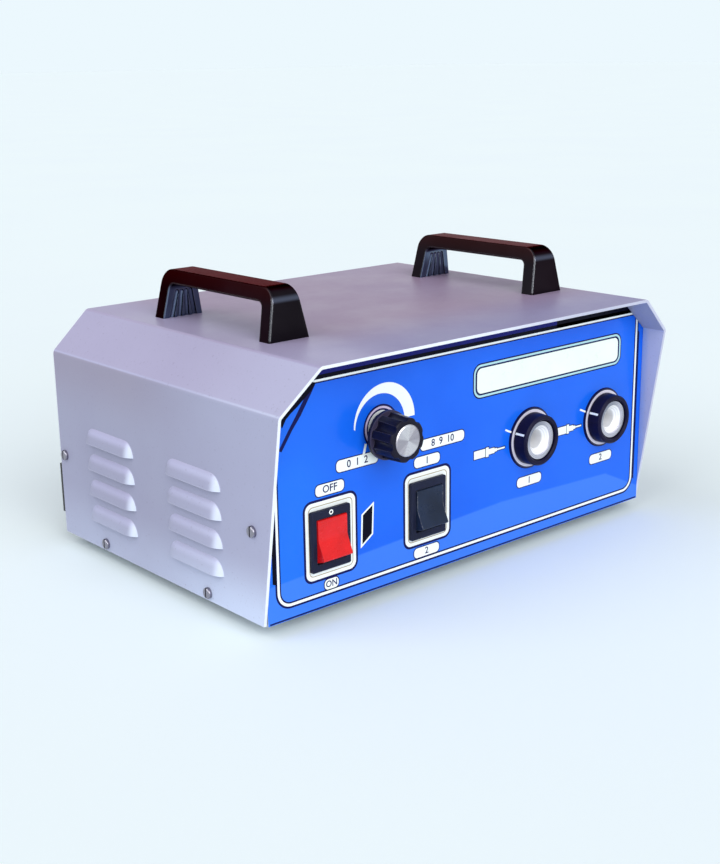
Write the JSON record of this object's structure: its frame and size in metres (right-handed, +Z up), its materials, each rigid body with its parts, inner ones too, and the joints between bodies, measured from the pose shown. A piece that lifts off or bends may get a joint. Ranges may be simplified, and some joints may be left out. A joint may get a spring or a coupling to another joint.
{
  "type": "fiber optic illuminator",
  "caption": "Bench light box with two locking light-guide ports, an intensity knob, two rocker switches and two carrying handles.",
  "frame": {"origin": "on the bench, under the middle of the part's own box", "axes": "+X to the right as seen from the front, +Y to the back, +Z up; the fascia with the controls faces -Y"},
  "size_m": [0.2868, 0.2266, 0.1575],
  "materials": {
    "cover_paint": "satin light grey with a lilac tint",
    "fascia_blue": "glossy printed blue overlay",
    "zinc_sheet": "zinc-plated sheet",
    "screw_steel": "nickel-plated",
    "foot_rubber": "matte",
    "handle_plastic": "glossy black",
    "switch_black": "fine satin black",
    "rocker_red": "glossy red",
    "rocker_black": "glossy black",
    "contact_brass": "tinned brass",
    "knob_plastic": "satin black",
    "knob_aluminium": "spun face",
    "port_silver": "turned and plated",
    "collar_black": "black anodised",
    "reflector_glass": "dichroic coated glass",
    "clear_glass": "clear",
    "ceramic": "steatite",
    "fan_plastic": "satin black",
    "sink_black": "black anodised",
    "core_steel": "varnished laminations",
    "coil_tape": "yellow tape over copper",
    "board_green": "solder mask",
    "component_body": "moulded parts"
  },
  "bodies": {
    "case": {"base_tray": "zinc_sheet", "board_components": "component_body", "board_standoffs": "contact_brass", "cover": "cover_paint", "cover_screws": "screw_steel", "dimmer_board": "board_green", "fan_frame": "fan_plastic", "fan_guard": "screw_steel", "fan_screws": "screw_steel", "fascia": "fascia_blue", "floor_screws": "screw_steel", "foot_screws": "screw_steel", "front_panel": "zinc_sheet", "fuse": "clear_glass", "fuse_cap": "switch_black", "fuse_holder": "switch_black", "handle_left": "handle_plastic", "handle_right": "handle_plastic", "handle_screws": "screw_steel", "heat_filters": "clear_glass", "heat_sink": "sink_black", "inlet_body": "switch_black", "inlet_pins": "contact_brass", "inlet_screws": "screw_steel", "lamp_bracket": "zinc_sheet", "lamp_capsules": "clear_glass", "lamp_reflectors": "reflector_glass", "lamp_retainers": "screw_steel", "lamp_sockets": "ceramic", "lamp_switch_body": "switch_black", "panel_screws": "screw_steel", "port_nuts": "contact_brass", "port_rings": "port_silver", "port_socket_a": "port_silver", "port_socket_b": "port_silver", "pot_body": "zinc_sheet", "pot_nut": "screw_steel", "power_switch_body": "switch_black", "rear_panel": "cover_paint", "rubber_feet": "foot_rubber", "sink_screws": "screw_steel", "switch_terminals": "contact_brass", "transformer_clamp": "zinc_sheet", "transformer_coil": "coil_tape", "transformer_core": "core_steel", "triac": "fan_plastic"},
    "power_rocker": {"power_rocker": "rocker_red"},
    "power_lever": {"power_contact_lever": "contact_brass"},
    "lamp_rocker": {"lamp_rocker": "rocker_black"},
    "lamp_lever": {"lamp_contact_lever": "contact_brass"},
    "knob": {"intensity_knob": "knob_plastic", "knob_cap": "knob_aluminium", "knob_set_screw": "screw_steel", "pot_shaft": "screw_steel"},
    "collar_a": {"lock_collar_a": "collar_black"},
    "collar_b": {"lock_collar_b": "collar_black"},
    "pin_a": {"lock_pin_a": "screw_steel"},
    "pin_b": {"lock_pin_b": "screw_steel"},
    "impeller": {"fan_impeller": "fan_plastic"}
  },
  "joints": [
    {"name": "power_switch", "type": "hinge", "parent": "case", "child": "power_rocker", "pos_m": [-0.1007, -0.0922, 0.0422], "axis": [1, 0, 0], "range_deg": [0, 24]},
    {"name": "power_lever_rock", "type": "hinge", "parent": "case", "child": "power_lever", "pos_m": [-0.1007, -0.0823, 0.0422], "axis": [1, 0, 0], "range_deg": [-12, 0]},
    {"name": "lamp_switch", "type": "hinge", "parent": "case", "child": "lamp_rocker", "pos_m": [-0.0361, -0.0922, 0.0422], "axis": [1, 0, 0], "range_deg": [0, 24]},
    {"name": "lamp_lever_rock", "type": "hinge", "parent": "case", "child": "lamp_lever", "pos_m": [-0.0361, -0.0823, 0.0422], "axis": [1, 0, 0], "range_deg": [-12, 0]},
    {"name": "knob_turn", "type": "hinge", "parent": "case", "child": "knob", "pos_m": [-0.0673, -0.10305, 0.0877], "axis": [0, 1, 0], "range_deg": [0, 270]},
    {"name": "collar_a_turn", "type": "hinge", "parent": "case", "child": "collar_a", "pos_m": [0.0423, -0.09605, 0.0634], "axis": [0, 1, 0], "range_deg": [0, 45]},
    {"name": "pin_a_slide", "type": "slide", "parent": "case", "child": "pin_a", "axis": [0.9336, 0, -0.3584], "range_m": [0, 0.0014]},
    {"name": "collar_b_turn", "type": "hinge", "parent": "case", "child": "collar_b", "pos_m": [0.1037, -0.09605, 0.0634], "axis": [0, 1, 0], "range_deg": [0, 45]},
    {"name": "pin_b_slide", "type": "slide", "parent": "case", "child": "pin_b", "axis": [0.9336, 0, -0.3584], "range_m": [0, 0.0014]},
    {"name": "fan_spin", "type": "hinge", "parent": "case", "child": "impeller", "pos_m": [0.073, 0.0658, 0.069], "axis": [0, 1, 0], "continuous": true}
  ],
  "couplings": [
    {"joint": "power_lever_rock", "follows": "power_switch", "ratio": -0.5},
    {"joint": "lamp_lever_rock", "follows": "lamp_switch", "ratio": -0.5},
    {"joint": "pin_a_slide", "follows": "collar_a_turn", "m_per_rad": 0.0017825},
    {"joint": "pin_b_slide", "follows": "collar_b_turn", "m_per_rad": 0.0017825}
  ]
}
